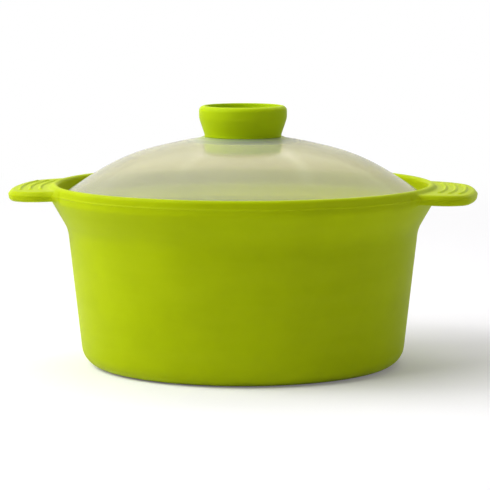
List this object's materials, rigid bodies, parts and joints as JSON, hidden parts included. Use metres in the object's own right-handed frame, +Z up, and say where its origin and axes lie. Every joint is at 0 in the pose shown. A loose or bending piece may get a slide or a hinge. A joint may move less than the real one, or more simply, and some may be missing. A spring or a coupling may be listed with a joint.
{
  "type": "microwave steamer",
  "caption": "Round silicone steaming pot with flared rim, ribbed ear handles, perforated lift-out basket and translucent domed lid with a hollow vented knob.",
  "frame": {"origin": "centre of the pot's underside, on the table", "axes": "+Z up through the knob, the ear handles along +X and -X"},
  "size_m": [0.2412, 0.1984, 0.1333],
  "materials": {
    "pot_silicone": "satin lime green silicone",
    "basket_silicone": "satin lime green silicone",
    "lid_plastic": "milky translucent, softly glossy",
    "knob_silicone": "satin lime green silicone",
    "plug_silicone": "satin lime green silicone"
  },
  "bodies": {
    "pot": {"pot": "pot_silicone"},
    "basket": {"steaming_basket": "basket_silicone"},
    "lid": {"lid": "lid_plastic", "knob": "knob_silicone", "knob_plug": "plug_silicone"}
  },
  "joints": [
    {"name": "lid_lift", "type": "slide", "parent": "pot", "child": "lid", "axis": [0, 0, 1], "range_m": [0, 0.2]},
    {"name": "basket_lift", "type": "slide", "parent": "pot", "child": "basket", "axis": [0, 0, 1], "range_m": [0, 0.1]}
  ],
  "couplings": [
    {"joint": "basket_lift", "follows": "lid_lift", "ratio": 0.5}
  ]
}
